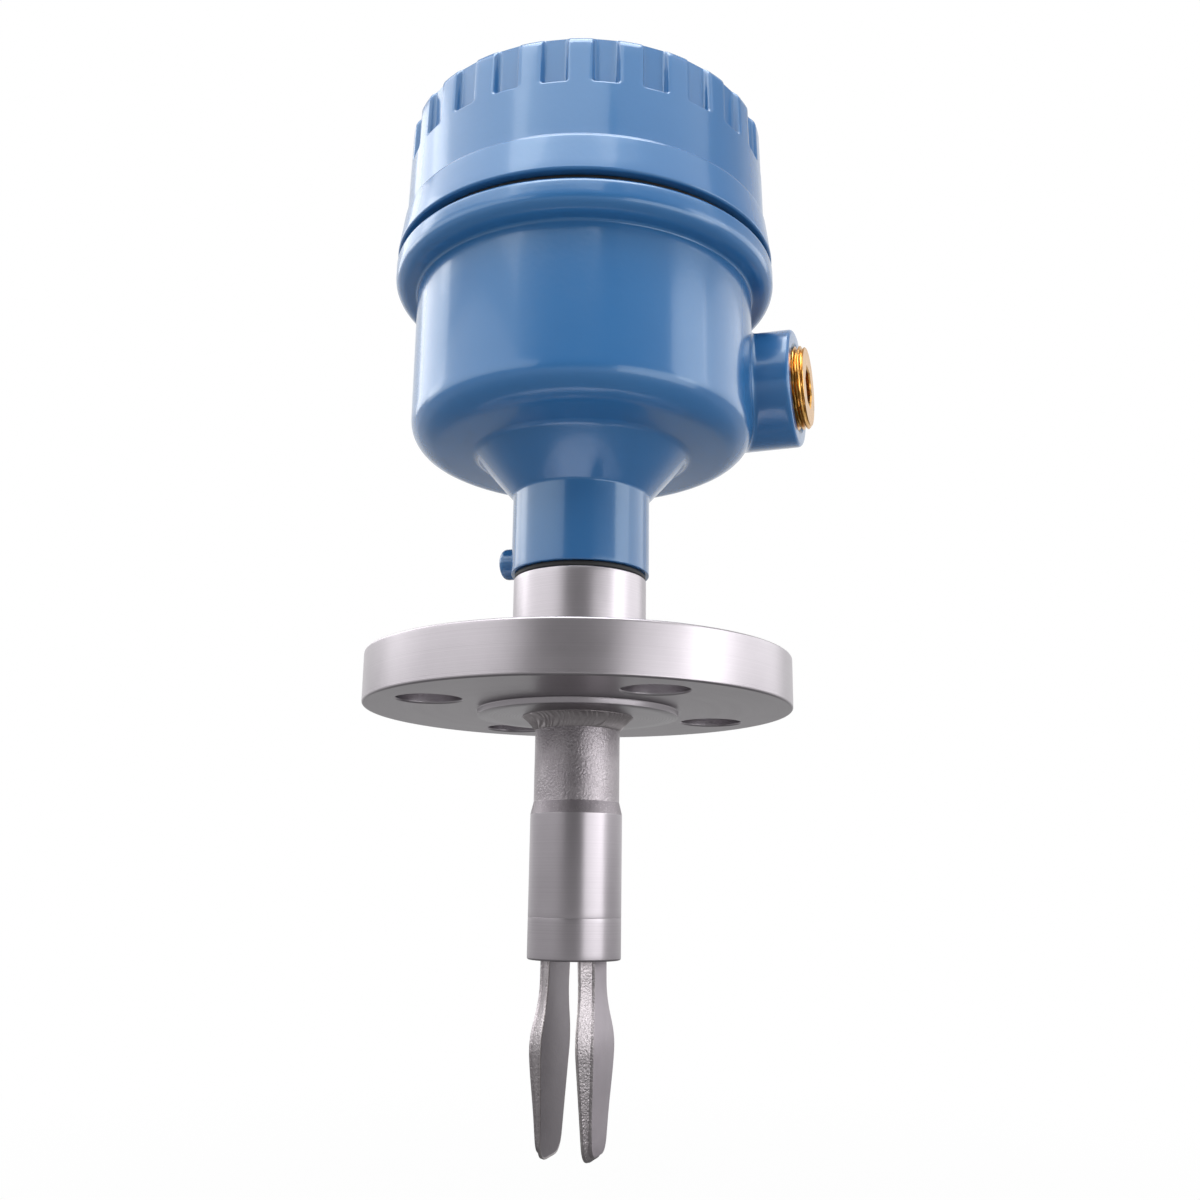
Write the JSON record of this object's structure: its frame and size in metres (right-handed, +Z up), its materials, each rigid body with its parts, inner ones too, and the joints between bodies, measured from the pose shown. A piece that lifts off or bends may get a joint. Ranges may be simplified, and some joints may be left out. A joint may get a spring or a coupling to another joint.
{
  "type": "vibrating fork level switch",
  "caption": "Level switch with a short two-tined fork under a raised-face pipe flange, and a round screw-covered head that turns on a collar, its cable entry closed by a plug.",
  "frame": {"origin": "centre of the flange's raised face", "axes": "+Z up along the fork's axis, from the raised face through the flange to the cover; +X the way the cable entry points, and across the gap between the tines; the bolt holes straddle both X and Y"},
  "size_m": [0.112, 0.108, 0.266],
  "materials": {
    "blue_paint": "glossy powder coat over cast aluminium",
    "stainless": "turned and blasted stainless steel",
    "black_rubber": "smooth black seal rubber",
    "spring_steel": "hardened spring steel",
    "zinc": "bright zinc plating",
    "brass": "machined brass",
    "ptfe": "white sealing tape",
    "grey_plastic": "moulded grey plastic",
    "black_plastic": "moulded black plastic",
    "board_green": "green solder mask",
    "terminal_green": "moulded green plastic",
    "ceramic": "fired piezo ceramic",
    "insulator": "white alumina",
    "potting": "cast sealing compound",
    "lead_red": "extruded insulation",
    "lamp_red": "clear red lens",
    "label_white": "blank matt label"
  },
  "bodies": {
    "process_side": {"flange": "stainless", "stem": "stainless", "weld_bead": "stainless", "fork": "stainless", "collar": "stainless", "neck_seal": "black_rubber", "spigot_ring": "black_rubber", "retaining_clip": "spring_steel", "stack_stud": "spring_steel", "stack_insulators": "insulator", "stack_electrodes": "brass", "stack_crystals": "ceramic", "stack_spring": "spring_steel", "stack_nut": "spring_steel", "stem_seal": "potting", "sensor_leads": "lead_red", "lead_plug": "black_plastic"},
    "head": {"housing": "blue_paint", "set_screw": "spring_steel", "cassette_case": "grey_plastic", "cassette_lid": "grey_plastic", "circuit_board": "board_green", "board_parts": "black_plastic", "board_spacers": "black_plastic", "cassette_screws": "zinc", "terminal_block": "terminal_green", "terminal_cages": "brass", "terminal_screws": "zinc", "status_lamp": "lamp_red", "label_plate": "label_white", "earth_screw": "brass", "earth_clamp": "zinc"},
    "cover_carrier": {"cover_ring": "black_rubber"},
    "cover": {"cover": "blue_paint"},
    "plug_carrier": {"plug_tape": "ptfe"},
    "plug": {"blanking_plug": "brass"},
    "dial": {"mode_dial": "black_plastic"}
  },
  "joints": [
    {"name": "head_swivel", "type": "hinge", "parent": "process_side", "child": "head", "pos_m": [0, 0, 0.045], "axis": [0, 0, 1], "range_deg": [-180, 180]},
    {"name": "cover_lift", "type": "slide", "parent": "head", "child": "cover_carrier", "axis": [0, 0, 1], "range_m": [0, 0.012]},
    {"name": "cover_turn", "type": "hinge", "parent": "cover_carrier", "child": "cover", "pos_m": [0, 0, 0.14], "axis": [0, 0, 1], "range_deg": [0, 2160]},
    {"name": "plug_travel", "type": "slide", "parent": "head", "child": "plug_carrier", "axis": [1, 0, 0], "range_m": [0, 0.0127]},
    {"name": "plug_turn", "type": "hinge", "parent": "plug_carrier", "child": "plug", "pos_m": [0.05, 0.019, 0.0907], "axis": [1, 0, 0], "range_deg": [0, 3240]},
    {"name": "dial_turn", "type": "hinge", "parent": "head", "child": "dial", "pos_m": [0, -0.012, 0.104], "axis": [0, 0, 1], "range_deg": [0, 300]}
  ],
  "couplings": [
    {"joint": "cover_lift", "follows": "cover_turn", "m_per_rad": 0.00031831},
    {"joint": "plug_travel", "follows": "plug_turn", "m_per_rad": 0.00022441}
  ]
}
